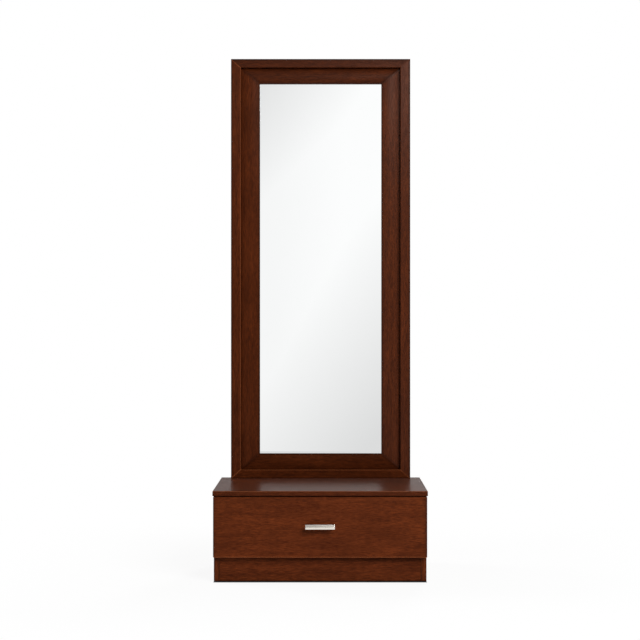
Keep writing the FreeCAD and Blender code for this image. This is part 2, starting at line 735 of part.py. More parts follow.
def stile(label, side, ring):
    """Upright member, cut at both ends along the line from the ring's outer to its inner corner."""
    body = new_body(label)
    put(body, "0", "frame_front_y", "cabinet_height")
    far = f"(frame_half - {ring['inset_x']})"
    width = ring["stile"]
    rail_width = ring["rail"]
    section = []
    for from_edge, depth, *bow in ring["section"](width):
        section.append((f"{side} * ({far} - ({from_edge}))", depth, *bow))
    bar = pad(body, sketch(body, "XY_Plane", [section]), "frame_height")
    round_edges(body, bar, "frame_edge_radius", front_edge("z"))
    outer_x = f"{side} * ({far} + {width})"
    inner_x = f"{side} * ({far} - 2 * {width})"
    top = f"(frame_height - {ring['inset_z']})"
    above = f"frame_height + 2 * {rail_width}"
    low = f"{ring['inset_z']}"
    below = f"-2 * {rail_width}"
    upper_cut = [(outer_x, f"{top} + {rail_width}"), (inner_x, f"{top} - 2 * {rail_width}")]
    upper_cut += [(inner_x, above), (outer_x, above)]
    lower_cut = [(outer_x, f"{low} - {rail_width}"), (inner_x, f"{low} + 2 * {rail_width}")]
    lower_cut += [(inner_x, below), (outer_x, below)]
    cut_through(body, sketch(body, "XZ_Plane", [upper_cut, lower_cut]))
    board(label, body)


def rail(label, upper, ring):
    """Level member, cut at both ends along the same lines as the stiles."""
    body = new_body(label)
    put(body, "0", "frame_front_y", "cabinet_height")
    far = f"(frame_half - {ring['inset_x']})"
    width = ring["rail"]
    stile_width = ring["stile"]
    edge = f"(frame_height - {ring['inset_z']})" if upper else f"({ring['inset_z']})"
    inward = "-" if upper else "+"
    outward = "+" if upper else "-"
    section = []
    for from_edge, depth, *bow in ring["section"](width):
        section.append((depth, f"{edge} {inward} ({from_edge})", *bow))
    bar = pad(body, sketch(body, "YZ_Plane", [section]), "2 * frame_half", symmetric=True)
    round_edges(body, bar, "frame_edge_radius", front_edge("x"))
    outer_z = f"{edge} {outward} {width}"
    inner_z = f"{edge} {inward} 2 * {width}"
    loops = []
    for side in SIDE_NAMES:
        outer_x = f"{side} * ({far} + {stile_width})"
        inner_x = f"{side} * ({far} - 2 * {stile_width})"
        clear = f"{side} * (frame_half + 2 * {stile_width})"
        loops.append([(outer_x, outer_z), (inner_x, inner_z), (clear, inner_z), (clear, outer_z)])
    cut_through(body, sketch(body, "XZ_Plane", loops))
    board(label, body)


def make_frame():
    for ring_name, ring in (("border", BORDER), ("inner", INNER)):
        for side, name in SIDE_NAMES.items():
            stile(f"{ring_name}_{name}_stile", side, ring)
        rail(f"{ring_name}_top_rail", True, ring)
        rail(f"{ring_name}_bottom_rail", False, ring)
    pin, hole = dowel("frame_dowel", "frame_dowel_diameter", "frame_dowel_length")
    spots = []
    for side, name in SIDE_NAMES.items():
        x = f"{side} * (inner_ring_half + frame_dowel_length / 2)"
        boards = [f"border_{name}_stile", f"inner_{name}_stile"]
        for step in (-2, -1, 0, 1, 2):
            place = (x, "frame_dowel_y", f"frame_middle_z + {step} * stile_dowel_pitch")
            spots.append((place, HEADINGS[SIDE_NAMES[-side]], boards))
    starts = {
        "top": ("frame_top_z - border_rail_width - frame_dowel_length / 2", "up"),
        "bottom": ("cabinet_height + border_rail_width + frame_dowel_length / 2", "down"),
    }
    for name, (start_z, heading) in starts.items():
        boards = [f"border_{name}_rail", f"inner_{name}_rail"]
        for side in SIDE_NAMES:
            place = (f"{side} * rail_dowel_offset", "frame_dowel_y", start_z)
            spots.append((place, HEADINGS[heading], boards))
    fit("frame_dowels", pin, hole, spots)


def make_glass():
    width = both_ways("rebate_half - glass_play")
    height = ("rebate_low_z + glass_play", "rebate_high_z - glass_play")
    board("mirror_glass", block("mirror_glass", width, ("glass_y", "glass_y + glass_thickness"), height))
    backing = block("backing_board", width, ("glass_y + glass_thickness", "back_y"), height)
    board("backing_board", backing)


def plate_template():
    """Corner plate in the XZ plane: legs along +X and +Z from the middle of its corner."""
    body = new_body("plate_blank")
    half = "plate_width / 2"
    outline = [
        (f"-{half}", f"-{half}"), ("plate_leg", f"-{half}"), ("plate_leg", half),
        (half, half), (half, "plate_leg"), (f"-{half}", "plate_leg"),
    ]
    pad(body, sketch(body, "XZ_Plane", [outline]), "plate_thickness", reverse=True)
    return body


def make_frame_plates_and_clips():
    screw, hole = round_screw("frame_screw", "small_screw_diameter", "plate_thickness + small_screw_bite")
    plate = plate_template()
    holes = []
    for number, reach in enumerate(("plate_near_screw", "plate_far_screw")):
        for way, place in (("x", (reach, "plate_thickness", "0")), ("z", ("0", "plate_thickness", reach))):
            holes.append(copy(f"plate_hole_{way}_{number}", hole, place, HEADINGS["front"]))
    tool = doc.addObject("Part::MultiFuse", "plate_holes")
    tool.Shapes = holes
    drilled = doc.addObject("Part::Cut", "plate")
    drilled.Base = plate
    drilled.Tool = tool
    clip = doc.addObject("Part::Cut", "clip")
    clip.Base = block(
        "clip_blank", ("0", "clip_length"), ("0", "clip_thickness"), both_ways("clip_width / 2"),
    )
    clip.Tool = copy("clip_hole", hole, ("clip_screw", "clip_thickness", "0"), HEADINGS["front"])
    upright = FreeCAD.Vector(0, 1, 0)
    plate_links = []
    clip_links = []
    spots = []
    corners = [(LEFT, "bottom", 0), (LEFT, "top", 90), (RIGHT, "top", 180), (RIGHT, "bottom", 270)]
    for side, end, angle in corners:
        level = "plate_low_z" if end == "bottom" else "plate_high_z"
        x = f"{side} * plate_x"
        turn = FreeCAD.Rotation(upright, angle)
        plate_links.append(copy(f"plate_{SIDE_NAMES[side]}_{end}", drilled, (x, "back_y", level), turn))
        sign_z = "+" if end == "bottom" else "-"
        for reach in ("plate_near_screw", "plate_far_screw"):
            along_x = (f"{x} - {side} * {reach}", "back_y + plate_thickness", level)
            along_z = (x, "back_y + plate_thickness", f"{level} {sign_z} {reach}")
            spots.append((along_x, HEADINGS["front"], [f"inner_{end}_rail"]))
            spots.append((along_z, HEADINGS["front"], [f"inner_{SIDE_NAMES[side]}_stile"]))
    reach = "clip_length - clip_lap"
    for side, name in SIDE_NAMES.items():
        turn = FreeCAD.Rotation(upright, 180 if side == RIGHT else 0)
        for step in (-1, 0, 1):
            z = f"frame_middle_z + {step} * clip_pitch"
            start = f"{side} * (rebate_half + {reach})"
            clip_links.append(copy(f"clip_{name}_{step + 2}", clip, (start, "back_y", z), turn))
            place = (f"{start} - {side} * clip_screw", "back_y + clip_thickness", z)
            spots.append((place, HEADINGS["front"], [f"inner_{name}_stile"]))
    ends = {"top": ("rebate_high_z", "+", 90), "bottom": ("rebate_low_z", "-", -90)}
    for name, (seam_z, sign, angle) in ends.items():
        start = f"{seam_z} {sign} ({reach})"
        turn = FreeCAD.Rotation(upright, angle)
        clip_links.append(copy(f"clip_{name}", clip, ("0", "back_y", start), turn))
        inward = "-" if sign == "+" else "+"
        place = ("0", "back_y + clip_thickness", f"{start} {inward} clip_screw")
        spots.append((place, HEADINGS["front"], [f"inner_{name}_rail"]))
    group("corner_plates", plate_links)
    group("backing_clips", clip_links)
    fit("plate_and_clip_screws", screw, hole, spots)


def make_battens():
    screw, hole = flat_screw("batten_screw", "screw_diameter", "batten_thickness + batten_screw_bite")
    spots = []
    rear = "back_y + batten_thickness"
    for side, name in SIDE_NAMES.items():
        label = f"{name}_batten"
        width = across(side, "batten_far - batten_width", "batten_far")
        board(label, block(label, width, ("back_y", rear), ("bottom_low_z", "batten_top_z")))
        x = f"{side} * batten_screw_x"
        for held, z in (("bottom_panel", "bottom_middle_z"), ("rear_rail", "rail_middle_z")):
            spots.append(((x, rear, z), HEADINGS["front"], [label, "cabinet_back_panel", held]))
        for number in range(FRAME_SCREWS_IN_BATTEN):
            share = number / (FRAME_SCREWS_IN_BATTEN - 1)
            z = f"batten_screw_low_z + {share} * batten_screw_rise"
            spots.append(((x, rear, z), HEADINGS["front"], [label, f"border_{name}_stile"]))
    fit("batten_screws", screw, hole, spots)


# Drawer

def make_drawer_box():
    front = slab(
        "drawer_front", both_ways("cabinet_width / 2 + drawer_front_lap"), ("face_y", "box_front_y"),
        ("plinth_height", "front_high_z"), "drawer_front_radius",
    )
    board("drawer_front", front)
    height = ("box_low_z", "box_high_z")
    depth = ("box_front_y", "box_back_y")
    for side, name in SIDE_NAMES.items():
        label = f"drawer_{name}_side"
        board(label, block(label, across(side, "box_inner_half", "box_half"), depth, height))
    width = both_ways("box_inner_half")
    board("drawer_box_front", block("drawer_box_front", width, ("box_front_y", "box_inner_front_y"), height))
    board("drawer_box_back", block("drawer_box_back", width, ("box_inner_back_y", "box_back_y"), height))
    reach = "groove_depth - groove_play"
    bottom = block(
        "drawer_bottom", both_ways(f"box_inner_half + {reach}"),
        (f"box_inner_front_y - ({reach})", f"box_inner_back_y + {reach}"),
        ("drawer_bottom_z", "drawer_bottom_z + drawer_bottom_thickness"),
    )
    board("drawer_bottom", bottom)
    groove = block(
        "bottom_groove", both_ways("box_inner_half + groove_depth"),
        ("box_inner_front_y - groove_depth", "box_inner_back_y + groove_depth"),
        ("drawer_bottom_z", "drawer_bottom_z + drawer_bottom_thickness + groove_play"),
    )
    for label in ("drawer_left_side", "drawer_right_side", "drawer_box_front", "drawer_box_back"):
        cutters[label].append(groove)


def make_drawer_screws():
    screw, hole = flat_screw("box_screw", "screw_diameter", "drawer_side_thickness + edge_screw_bite")
    spots = []
    ends = {
        "drawer_box_front": "box_front_y + drawer_end_thickness / 2",
        "drawer_box_back": "box_back_y - drawer_end_thickness / 2",
    }
    for side, name in SIDE_NAMES.items():
        for label, y in ends.items():
            for z in ("box_low_z + box_screw_from_edge", "box_high_z - box_screw_from_edge"):
                inward = HEADINGS[SIDE_NAMES[-side]]
                spots.append(((f"{side} * box_half", y, z), inward, [f"drawer_{name}_side", label]))
    fit("drawer_box_screws", screw, hole, spots)
    screw, hole = flat_screw("front_screw", "screw_diameter", "drawer_end_thickness + screw_bite")
    spots = []
    for side in SIDE_NAMES:
        for z in ("box_low_z + front_screw_from_edge", "box_high_z - front_screw_from_edge"):
            place = (f"{side} * front_screw_offset", "box_inner_front_y", z)
            spots.append((place, HEADINGS["front"], ["drawer_box_front", "drawer_front"]))
    fit("drawer_front_screws", screw, hole, spots)


def make_handle():
    """Bar with an upright lower face and a leaning upper face, on two round posts."""
    body = new_body("handle_bar")
    put(body, "0", "face_y - handle_projection", "handle_z - handle_height / 2")
    section = [
        ("0", "0"), ("0", "handle_lower_height"), ("handle_slope", "handle_height"),
        ("handle_depth", "handle_height"), ("handle_depth", "0"),
    ]
    bar = pad(body, sketch(body, "YZ_Plane", [section]), "handle_length", symmetric=True)
    round_edges(body, bar, "handle_edge_radius")
    length = "drawer_end_thickness + drawer_front_thickness + handle_thread"
    screw, hole = round_screw("handle_screw", "handle_screw_diameter", length)
    pieces = [body]
    spots = []
    for side, name in SIDE_NAMES.items():
        x = f"{side} * handle_post_spacing / 2"
        post = doc.addObject("Part::Cylinder", f"handle_post_{name}")
        bind(post, Radius="handle_post_diameter / 2", Height="handle_projection - handle_depth / 2")
        post.Placement = FreeCAD.Placement(FreeCAD.Vector(), HEADINGS["back"])
        put(post, x, "face_y", "handle_z")
        pieces.append(post)
        place = (x, "box_inner_front_y", "handle_z")
        spots.append((place, HEADINGS["front"], ["drawer_box_front", "drawer_front", "handle"]))
    whole = doc.addObject("Part::MultiFuse", "handle_whole")
    whole.Shapes = pieces
    board("handle", whole)
    fit("handle_screws", screw, hole, spots)


# Ball-bearing slides

def channel(label, side, start, end, half, lip, toward_cabinet=False):
    """Rolled member along Y: a web, two flanges and, where it has them, turned-in edges."""
    body = new_body(label)
    put(body, f"{side} * inner_half", "slide_front_y", "slide_z")
    sheet = "slide_sheet"
    web, tip = (end, start) if toward_cabinet else (start, end)
    sign = "-" if toward_cabinet else "+"
    back = "+" if toward_cabinet else "-"
    inside = f"({half}) - {sheet}"
    upper = [(web, half), (tip, half)]
    if lip:
        edge = f"({tip}) {back} {sheet}"
        upper += [(tip, f"({inside}) - slide_lip"), (edge, f"({inside}) - slide_lip"), (edge, inside)]
    else:
        upper += [(tip, inside)]
    upper += [(f"({web}) {sign} {sheet}", inside)]
    lower = [(x, f"-({z})") for x, z in reversed(upper)]
    section = [(f"-{side} * ({x})", z) for x, z in upper + lower]
    pad(body, sketch(body, "XZ_Plane", [section]), "slide_length", reverse=True)
    board(label, body)


def cage(label, side, start, end, up):
    """Thin strip around the middle line that holds one row of balls above and one below."""
    body = new_body(label)
    put(body, f"{side} * inner_half", "cage_end_y - cage_length", "slide_z")
    high = f"({up}) + cage_sheet / 2"
    low = f"({up}) - cage_sheet / 2"
    upper = [(start, high), (end, high), (end, low), (f"({start}) + cage_sheet", low)]
    lower = [(x, f"-({z})") for x, z in reversed(upper)]
    section = [(f"-{side} * ({x})", z) for x, z in upper + lower]
    pad(body, sketch(body, "XZ_Plane", [section]), "cage_length", reverse=True)
    board(label, body)


def make_slides():
    ball = doc.addObject("Part::Sphere", "ball")
    bind(ball, Radius="ball_diameter / 2")
    ball_hole = plug("ball_hole", "ball_diameter / 2 + ball_play", "cage_sheet", "-cage_sheet")
    for side, name in SIDE_NAMES.items():
        channel(f"{name}_slide_outer", side, "0", "outer_out", "outer_up", True)
        channel(f"{name}_slide_middle", side, "mid_in", "mid_out", "mid_up", True)
        channel(f"{name}_slide_inner", side, "inner_in", "slide_thickness", "inner_up", False, True)
        for row, tip in (("outer", "outer_out"), ("inner", "mid_out")):
            label = f"{name}_{row}_cage"
            up = f"{row}_ball_up"
            cage(label, side, f"{row}_cage_in", f"{tip} - slide_sheet - cage_play", up)
            spots = []
            for number in range(BALLS_IN_ROW):
                share = (number + 0.5) / BALLS_IN_ROW
                y = f"cage_end_y - {share} * cage_length"
                for sign in "+-":
                    place = (f"{side} * (inner_half - {row}_ball_in)", y, f"slide_z {sign} {up}")
                    spots.append((place, HEADINGS["down"], [label]))
            fit(f"{name}_{row}_balls", ball, ball_hole, spots)


def make_slide_screws():
    screw, hole = flat_screw("slide_screw", "small_screw_diameter", "slide_sheet + small_screw_bite")
    stops = (
        "slide_front_y + slide_screw_from_end", "slide_front_y + slide_length / 2",
        "slide_end_y - slide_screw_from_end",
    )
    cabinet_spots = []
    drawer_spots = []
    for side, name in SIDE_NAMES.items():
        for y in stops:
            outer_place = (f"{side} * (inner_half - slide_sheet)", y, "slide_z")
            boards = [f"{name}_slide_outer", f"{name}_side_panel"]
            cabinet_spots.append((outer_place, HEADINGS[name], boards))
            inner_place = (f"{side} * (box_half + slide_sheet)", y, "slide_z")
            boards = [f"{name}_slide_inner", f"drawer_{name}_side"]
            drawer_spots.append((inner_place, HEADINGS[SIDE_NAMES[-side]], boards))
    fit("cabinet_slide_screws", screw, hole, cabinet_spots)
    fit("drawer_slide_screws", screw, hole, drawer_spots)


# Whole assembly

def check_document():
    doc.recompute()
    failed = [thing.Name for thing in doc.Objects if {"Invalid", "Error"} & set(thing.State)]
    unsound = [node.Label for node in nodes if node.Shape.isNull() or not node.Shape.isValid()]
    if failed or unsound:
        raise RuntimeError(f"failed: {failed} unsound: {unsound}")


def export():
    os.makedirs("parts", exist_ok=True)
    for node in nodes:
        node.Shape.exportStep(f"parts/{node.Label}.step")


fill_sheet()
make_carcass()
make_glides_and_bumpers()
make_carcass_joints()
make_cabinet_screws()
make_frame()
make_glass()
make_frame_plates_and_clips()
make_battens()
make_drawer_box()
make_drawer_screws()
make_handle()
make_slides()
make_slide_screws()
finish_boards()
check_document()
export()
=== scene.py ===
import math

import bpy
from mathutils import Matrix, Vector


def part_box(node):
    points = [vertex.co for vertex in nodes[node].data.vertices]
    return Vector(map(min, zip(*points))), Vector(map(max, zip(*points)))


# Floor mirror on a low cabinet with one drawer: finishes, light and camera.
# Metres, +Z up, the front faces -Y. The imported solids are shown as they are.

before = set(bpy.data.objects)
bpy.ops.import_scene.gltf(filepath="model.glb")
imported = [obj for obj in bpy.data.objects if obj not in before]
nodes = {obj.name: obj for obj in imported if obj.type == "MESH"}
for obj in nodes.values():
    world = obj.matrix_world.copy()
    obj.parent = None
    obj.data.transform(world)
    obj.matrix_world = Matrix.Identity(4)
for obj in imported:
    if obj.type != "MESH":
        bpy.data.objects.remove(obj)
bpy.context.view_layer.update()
slot_nodes = {}
for node_name, node in nodes.items():
    slot_nodes.setdefault(node.material_slots[0].material.name, []).append(node_name)

X = 0
Y = 1
Z = 2
LEFT = (-1.0, 0.0, 0.0)
RIGHT = (1.0, 0.0, 0.0)
UP = (0.0, 0.0, 1.0)
DOWN = (0.0, 0.0, -1.0)


# Shader nodes

def new_material(name):
    """Material with an empty tree but for its output and one Principled shader."""
    material = bpy.data.materials.new(name)
    material.use_nodes = True
    tree = material.node_tree
    tree.nodes.clear()
    output = tree.nodes.new("ShaderNodeOutputMaterial")
    shader = tree.nodes.new("ShaderNodeBsdfPrincipled")
    tree.links.new(shader.outputs["BSDF"], output.inputs["Surface"])
    return material, tree, shader


def feed(tree, socket, value):
    """Link an output to a socket, or set the socket to a constant."""
    if isinstance(value, bpy.types.NodeSocket):
        tree.links.new(value, socket)
    else:
        socket.default_value = value


def math_node(tree, operation, first, second=0.0):
    node = tree.nodes.new("ShaderNodeMath")
    node.operation = operation
    feed(tree, node.inputs[0], first)
    feed(tree, node.inputs[1], second)
    return node.outputs[0]


def product(tree, first, second):
    return math_node(tree, "MULTIPLY", first, second)


def difference(tree, first, second):
    return math_node(tree, "SUBTRACT", first, second)


def larger(tree, first, second):
    return math_node(tree, "MAXIMUM", first, second)


def unsigned(tree, value):
    return math_node(tree, "ABSOLUTE", value)


def blended(tree, first, second, share):
    """Two levels mixed, with a share of the second."""
    return math_node(tree, "ADD", product(tree, first, 1.0 - share), product(tree, second, share))


def ranged(tree, value, low, high, start=0.0, end=1.0, smooth=False):
    """Carry a value from one range to another, held at the ends."""
    node = tree.nodes.new("ShaderNodeMapRange")
    if smooth:
        node.interpolation_type = "SMOOTHSTEP"
    feed(tree, node.inputs["Value"], value)
    node.inputs["From Min"].default_value = low
    node.inputs["From Max"].default_value = high
    node.inputs["To Min"].default_value = start
    node.inputs["To Max"].default_value = end
    return node.outputs["Result"]


def mixed(tree, share, first, second):
    """Two colours mixed, with a share of the second."""
    node = tree.nodes.new("ShaderNodeMix")
    node.data_type = "RGBA"
    feed(tree, node.inputs["Factor"], share)
    feed(tree, node.inputs["A"], first)
    feed(tree, node.inputs["B"], second)
    return node.outputs["Result"]


def colour(red, green, blue):
    """Linear colour from one written in 8-bit sRGB."""
    linear = []
    for level in (red, green, blue):
        share = level / 255
        linear.append(share / 12.92 if share <= 0.04045 else ((share + 0.055) / 1.055) ** 2.4)
    return (*linear, 1.0)


def shaded(tone, shade):
    return (*[shade * level for level in tone[:3]], 1.0)


def coordinates(tree, kind):
    return tree.nodes.new("ShaderNodeTexCoord").outputs[kind]


def separated(tree, vector):
    """The three components of a vector."""
    node = tree.nodes.new("ShaderNodeSeparateXYZ")
    tree.links.new(vector, node.inputs["Vector"])
    return node.outputs


SEED_STEP = (1.7, 2.9, 4.3)


def mapped(tree, scale=(1.0, 1.0, 1.0), seed=0):
    """Object coordinates, stretched, and shifted so that no two boards have the same figure."""
    mapping = tree.nodes.new("ShaderNodeMapping")
    tree.links.new(coordinates(tree, "Object"), mapping.inputs["Vector"])
    mapping.inputs["Location"].default_value = [step * seed for step in SEED_STEP]
    mapping.inputs["Scale"].default_value = scale
    return mapping.outputs["Vector"]


def noise(tree, vector, scale, detail=2.0, roughness=0.5, distortion=0.0):
    node = tree.nodes.new("ShaderNodeTexNoise")
    tree.links.new(vector, node.inputs["Vector"])
    node.inputs["Scale"].default_value = scale
    node.inputs["Detail"].default_value = detail
    node.inputs["Roughness"].default_value = roughness
    node.inputs["Distortion"].default_value = distortion
    return node.outputs["Fac"]


def grain(tree, axis, narrow, scale, seed=0, **look):
    """Noise drawn out along one axis, where its scale is narrowed to a share."""
    stretch = [1.0, 1.0, 1.0]
    stretch[axis] = narrow
    return noise(tree, mapped(tree, stretch, seed), scale, **look)


def cells(tree, vector, scale):
    """A random level for each of many small cells."""
    node = tree.nodes.new("ShaderNodeTexVoronoi")
    tree.links.new(vector, node.inputs["Vector"])
    node.inputs["Scale"].default_value = scale
    parts = tree.nodes.new("ShaderNodeSeparateColor")
    tree.links.new(node.outputs["Color"], parts.inputs["Color"])
    return parts.outputs["Red"]


def true_normal(tree):
    return tree.nodes.new("ShaderNodeNewGeometry").outputs["True Normal"]


def facing(tree, axis):
    """Component of the surface's normal along one axis."""
    return separated(tree, true_normal(tree))[axis]


def dot(tree, first, second):
    node = tree.nodes.new("ShaderNodeVectorMath")
    node.operation = "DOT_PRODUCT"
    feed(tree, node.inputs[0], first)
    feed(tree, node.inputs[1], second)
    return node.outputs["Value"]


# How far a rounded normal turns from the true one, and leans to a side, from no edge to a full one
EDGE_TURN = (0.999, 0.93)
EDGE_LEAN = (0.02, 0.2)
EDGE_SAMPLES = 4


def edge_share(tree, radius, toward=None, both=False):
    """About 1 on sharp or rounded edges and 0 on flat faces, all round or only on one side or two."""
    bevel = tree.nodes.new("ShaderNodeBevel")
    bevel.samples = EDGE_SAMPLES
    bevel.inputs["Radius"].default_value = radius
    rounded = bevel.outputs["Normal"]
    share = ranged(tree, dot(tree, rounded, true_normal(tree)), *EDGE_TURN)
    if toward:
        lean = dot(tree, rounded, toward)
        if both:
            lean = unsigned(tree, lean)
        share = product(tree, share, ranged(tree, lean, *EDGE_LEAN))
    return share


def bump(tree, shader, height, distance, strength):
    node = tree.nodes.new("ShaderNodeBump")
    node.inputs["Strength"].default_value = strength
    node.inputs["Distance"].default_value = distance
    tree.links.new(height, node.inputs["Height"])
    tree.links.new(node.outputs["Normal"], shader.inputs["Normal"])


def paint(tree, shader, tone):
    tree.links.new(tone, shader.inputs["Base Color"])


def roughen(tree, shader, level, span, start, end):
    """Carry the roughness from one value to another over a span of a texture's level."""
    tree.links.new(ranged(tree, level, *span, start, end), shader.inputs["Roughness"])


# Finishes

# Levels that most of a noise, and most of the plating's crystals and marks, lie between
NOISE_SPAN = (0.3, 0.7)
PLATE_SPAN = (0.25, 0.75)

STAIN_DARK = colour(62, 25, 9)
STAIN_LIGHT = colour(108, 50, 22)
STAIN_PORE = colour(30, 10, 5)
# Darker tone for edges: partly gathered stain, partly painted shade
STAIN_AND_SHADE_AT_EDGES = colour(34, 12, 6)
# Lighter tone painted along edges as a highlight, and how far in it reaches
PAINTED_HIGHLIGHT_TONE = colour(148, 82, 48)
PAINTED_HIGHLIGHT_REACH = 0.004
LACQUER = colour(255, 246, 236)
# Share of fine streaks in the figure, and their height beside the depth of the pores
STREAK_SHARE = 0.68
STREAK_RELIEF = 0.3
# Levels of the figure, and how far it changes the lacquer's roughness
FIGURE_SPAN = (0.36, 0.64)
SHEEN_SPREAD = 0.05
# Pores are the peaks of a fine noise, and blotches darken the wood and thin the darkening along its edges,
# which is gathered stain and painted shade
PORE_SPAN = (0.58, 0.68)
PORE_SHARE = 0.5
BLOTCH_SPAN = (0.35, 0.65)
BLOTCH_SHARE = 0.45
EDGE_DARKENING_SPAN = (0.9, 0.6)
# Upward part of the normal where the top's own gloss begins and is full
TOP_FACING = (0.3, 0.9)


def satin_across(tree, shader, axis, share):
    """Draw reflections out across the grain, as fine grooves along it do."""
    tangent = tree.nodes.new("ShaderNodeTangent")
    tangent.direction_type = "RADIAL"
    tangent.axis = "XYZ"[axis]
    tree.links.new(tangent.outputs["Tangent"], shader.inputs["Tangent"])
    shader.inputs["Anisotropic"].default_value = share


def stained_wood(
    name, axis, seed, shade=1.0, roughness=0.36, gloss=0.04, top_gloss=None, drawn=0.6,
    edge=0.001, toward=None, both=False, rubbed=None,
):
    """Reddish brown stained veneer with fine pores, under satin lacquer.

    Its edges are darkened all round or on one side, partly as gathered stain and partly as painted shade,
    and may be lightened along another as a painted highlight.
    """
    material, tree, shader = new_material(name)
    dark = shaded(STAIN_DARK, shade)
    bands = grain(tree, axis, 0.08, 90.0, seed, detail=4.0, roughness=0.6, distortion=0.2)
    streaks = grain(tree, axis, 0.1, 520.0, seed, detail=3.0, roughness=0.6)
    blotches = grain(tree, axis, 0.4, 20.0, seed, detail=4.0, roughness=0.6)
    pores = ranged(tree, grain(tree, axis, 0.05, 1300.0, seed), *PORE_SPAN)
    figure = blended(tree, bands, streaks, STREAK_SHARE)
    tone = mixed(tree, ranged(tree, figure, *FIGURE_SPAN), dark, shaded(STAIN_LIGHT, shade))
    tone = mixed(tree, ranged(tree, blotches, *BLOTCH_SPAN, 0.0, BLOTCH_SHARE), tone, dark)
    tone = mixed(tree, product(tree, pores, PORE_SHARE), tone, shaded(STAIN_PORE, shade))
    uneven = ranged(tree, blotches, *NOISE_SPAN, *EDGE_DARKENING_SPAN)
    # Darkened edges: gathered stain, and painted shade for dark outlines and seams
    gathered_and_shaded = product(tree, edge_share(tree, edge, toward, both), uneven)
    tone = mixed(tree, gathered_and_shaded, tone, shaded(STAIN_AND_SHADE_AT_EDGES, shade))
    # Painted highlight: a lighter tone along the edges that face one side, where light would catch them
    if rubbed:
        tone = mixed(tree, edge_share(tree, PAINTED_HIGHLIGHT_REACH, rubbed), tone, shaded(PAINTED_HIGHLIGHT_TONE, shade))
    paint(tree, shader, tone)
    roughen(tree, shader, figure, FIGURE_SPAN, roughness + SHEEN_SPREAD, roughness - SHEEN_SPREAD)
    shader.inputs["Specular IOR Level"].default_value = gloss
    shader.inputs["Specular Tint"].default_value = LACQUER
    if top_gloss:
        level = ranged(tree, facing(tree, Z), *TOP_FACING, gloss, top_gloss)
        tree.links.new(level, shader.inputs["Specular IOR Level"])
    satin_across(tree, shader, axis, drawn)
    height = difference(tree, product(tree, streaks, STREAK_RELIEF), pores)
    bump(tree, shader, height, distance=0.00012, strength=0.35)
    return material


SMEAR_SPAN = (0.3, 0.8)


def mirror_silver(name):
    """Silvered glass with the faintest smears."""
    material, tree, shader = new_material(name)
    smears = grain(tree, Z, 0.6, 5.0, detail=4.0, roughness=0.6)
    paint(tree, shader, mixed(tree, smears, colour(253, 254, 254), colour(251, 252, 252)))
    shader.inputs["Metallic"].default_value = 1.0
    roughen(tree, shader, smears, SMEAR_SPAN, 0.004, 0.02)
    return material


def brushed_metal(name, axis, light, dark, smooth, rough):
    """Metal with fine lines along one axis."""
    material, tree, shader = new_material(name)
    lines = grain(tree, axis, 0.01, 3000.0, detail=3.0, roughness=0.6)
    clouds = noise(tree, mapped(tree), 60.0, detail=3.0)
    paint(tree, shader, mixed(tree, blended(tree, lines, clouds, 0.4), dark, light))
    shader.inputs["Metallic"].default_value = 1.0
    roughen(tree, shader, lines, NOISE_SPAN, smooth, rough)
    bump(tree, shader, lines, distance=0.00001, strength=0.05)
    return material


PLY = 0.0017


def plywood(name, length, thickness, seed):
    """Pale peeled veneer, with its plies showing as lines along the edges."""
    material, tree, shader = new_material(name)
    figure = grain(tree, length, 0.07, 60.0, seed, detail=4.0, roughness=0.55, distortion=1.2)
    fibres = grain(tree, length, 0.03, 900.0, seed, detail=3.0, roughness=0.6)
    blotches = noise(tree, mapped(tree, seed=seed), 11.0, detail=3.0)
    share = ranged(tree, blended(tree, figure, fibres, 0.4), 0.34, 0.66)
    tone = mixed(tree, share, colour(190, 151, 105), colour(216, 184, 140))
    tone = mixed(tree, ranged(tree, blotches, 0.35, 0.7, 0.0, 0.35), tone, colour(182, 140, 92))
    depth = separated(tree, mapped(tree))[thickness]
    pair = math_node(tree, "FRACT", math_node(tree, "DIVIDE", depth, 2 * PLY))
    layer = ranged(tree, unsigned(tree, difference(tree, pair, 0.5)), 0.22, 0.28)
    edge = ranged(tree, unsigned(tree, facing(tree, thickness)), 0.7, 0.3)
    lines = product(tree, product(tree, layer, edge), 0.7)
    paint(tree, shader, mixed(tree, lines, tone, colour(140, 98, 60)))
    roughen(tree, shader, fibres, NOISE_SPAN, 0.62, 0.5)
    shader.inputs["Specular IOR Level"].default_value = 0.25
    bump(tree, shader, fibres, distance=0.00015, strength=0.5)
    return material


def hardboard(name):
    """Pressed brown fibres, with pale flecks."""
    material, tree, shader = new_material(name)
    place = mapped(tree)
    fibres = noise(tree, place, 700.0, detail=5.0, roughness=0.7, distortion=1.5)
    clouds = noise(tree, place, 16.0, detail=3.0)
    flecks = ranged(tree, grain(tree, Z, 0.3, 420.0, distortion=2.0), 0.63, 0.72)
    tone = mixed(tree, ranged(tree, fibres, *NOISE_SPAN), colour(112, 78, 50), colour(150, 112, 76))
    tone = mixed(tree, ranged(tree, clouds, *BLOTCH_SPAN, 0.0, 0.4), tone, colour(120, 84, 54))
    paint(tree, shader, mixed(tree, product(tree, flecks, 0.45), tone, colour(182, 146, 104)))
    roughen(tree, shader, fibres, NOISE_SPAN, 0.7, 0.55)
    shader.inputs["Specular IOR Level"].default_value = 0.2
    bump(tree, shader, fibres, distance=0.0003, strength=0.4)
    return material


def beech(name):
    """Pale dowel wood with short dark flecks."""
    material, tree, shader = new_material(name)
    place = mapped(tree)
    fibres = noise(tree, place, 500.0, detail=3.0, roughness=0.6)
    flecks = ranged(tree, noise(tree, place, 1400.0), 0.6, 0.7)
    tone = mixed(tree, ranged(tree, fibres, *NOISE_SPAN), colour(186, 142, 98), colour(212, 172, 126))
    paint(tree, shader, mixed(tree, product(tree, flecks, 0.6), tone, colour(142, 98, 62)))
    roughen(tree, shader, fibres, NOISE_SPAN, 0.65, 0.5)
    bump(tree, shader, fibres, distance=0.0001, strength=0.4)
    return material


